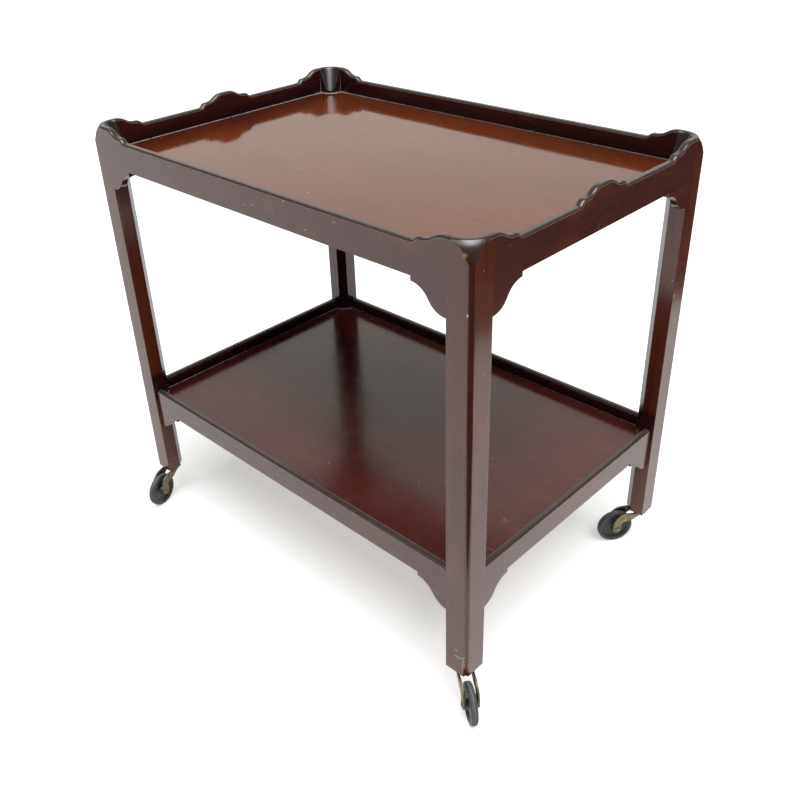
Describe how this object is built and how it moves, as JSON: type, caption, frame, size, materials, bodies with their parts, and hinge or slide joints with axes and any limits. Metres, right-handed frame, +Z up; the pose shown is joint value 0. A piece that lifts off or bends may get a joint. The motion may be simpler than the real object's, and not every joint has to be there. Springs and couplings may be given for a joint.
{
  "type": "tea trolley",
  "caption": "Two-tier wooden tea trolley with a crested gallery round its top tray, ogee brackets and brass swivel castors.",
  "frame": {"origin": "On the floor, under the middle of the trolley's own outline with the castors as they stand", "axes": "+X along the length, +Z up, and the front long side faces -Y"},
  "size_m": [0.7624, 0.545, 0.6585],
  "materials": {
    "mahogany": "polished dark red-brown mahogany",
    "mahogany_veneer": "polished mahogany board, grain along the length",
    "brass": "aged, dulled",
    "steel": "dulled rivet steel",
    "wheel": "hard moulded, nearly black",
    "tyre": "worn grey-black rubber"
  },
  "bodies": {
    "frame": {"leg_front_left": "mahogany", "leg_front_right": "mahogany", "leg_back_right": "mahogany", "leg_back_left": "mahogany", "tray_rail_front": "mahogany", "tray_rail_right": "mahogany", "tray_rail_back": "mahogany", "tray_rail_left": "mahogany", "tray_board": "mahogany_veneer", "shelf_rail_front": "mahogany", "shelf_rail_right": "mahogany", "shelf_rail_back": "mahogany", "shelf_rail_left": "mahogany", "shelf_board": "mahogany_veneer", "tray_bracket_front_a": "mahogany", "tray_bracket_front_b": "mahogany", "tray_bracket_right_a": "mahogany", "tray_bracket_right_b": "mahogany", "tray_bracket_back_a": "mahogany", "tray_bracket_back_b": "mahogany", "tray_bracket_left_a": "mahogany", "tray_bracket_left_b": "mahogany", "shelf_bracket_front_a": "mahogany", "shelf_bracket_front_b": "mahogany", "shelf_bracket_right_a": "mahogany", "shelf_bracket_right_b": "mahogany", "shelf_bracket_back_a": "mahogany", "shelf_bracket_back_b": "mahogany", "shelf_bracket_left_a": "mahogany", "shelf_bracket_left_b": "mahogany", "castor_socket_front_left": "brass", "castor_socket_front_right": "brass", "castor_socket_back_right": "brass", "castor_socket_back_left": "brass"},
    "swivel_front_left": {"castor_fork_front_left": "brass", "castor_axle_front_left": "steel"},
    "roller_front_left": {"castor_wheel_front_left": "wheel", "castor_tyre_front_left": "tyre"},
    "swivel_front_right": {"castor_fork_front_right": "brass", "castor_axle_front_right": "steel"},
    "roller_front_right": {"castor_wheel_front_right": "wheel", "castor_tyre_front_right": "tyre"},
    "swivel_back_right": {"castor_fork_back_right": "brass", "castor_axle_back_right": "steel"},
    "roller_back_right": {"castor_wheel_back_right": "wheel", "castor_tyre_back_right": "tyre"},
    "swivel_back_left": {"castor_fork_back_left": "brass", "castor_axle_back_left": "steel"},
    "roller_back_left": {"castor_wheel_back_left": "wheel", "castor_tyre_back_left": "tyre"}
  },
  "joints": [
    {"name": "swivel_front_left", "type": "hinge", "parent": "frame", "child": "swivel_front_left", "pos_m": [-0.333, -0.216, 0.058], "axis": [0, 0, 1], "continuous": true},
    {"name": "roll_front_left", "type": "hinge", "parent": "swivel_front_left", "child": "roller_front_left", "pos_m": [-0.32308, -0.25061, 0.028], "axis": [0.9613, 0.2756, 0], "continuous": true},
    {"name": "swivel_front_right", "type": "hinge", "parent": "frame", "child": "swivel_front_right", "pos_m": [0.333, -0.216, 0.058], "axis": [0, 0, 1], "continuous": true},
    {"name": "roll_front_right", "type": "hinge", "parent": "swivel_front_right", "child": "roller_front_right", "pos_m": [0.36175, -0.23766, 0.028], "axis": [0.6018, 0.7986, 0], "continuous": true},
    {"name": "swivel_back_right", "type": "hinge", "parent": "frame", "child": "swivel_back_right", "pos_m": [0.333, 0.216, 0.058], "axis": [0, 0, 1], "continuous": true},
    {"name": "roll_back_right", "type": "hinge", "parent": "swivel_back_right", "child": "roller_back_right", "pos_m": [0.31184, 0.18688, 0.028], "axis": [0.809, -0.5878, 0], "continuous": true},
    {"name": "swivel_back_left", "type": "hinge", "parent": "frame", "child": "swivel_back_left", "pos_m": [-0.333, 0.216, 0.058], "axis": [0, 0, 1], "continuous": true},
    {"name": "roll_back_left", "type": "hinge", "parent": "swivel_back_left", "child": "roller_back_left", "pos_m": [-0.35614, 0.24358, 0.028], "axis": [-0.766, -0.6428, 0], "continuous": true}
  ]
}
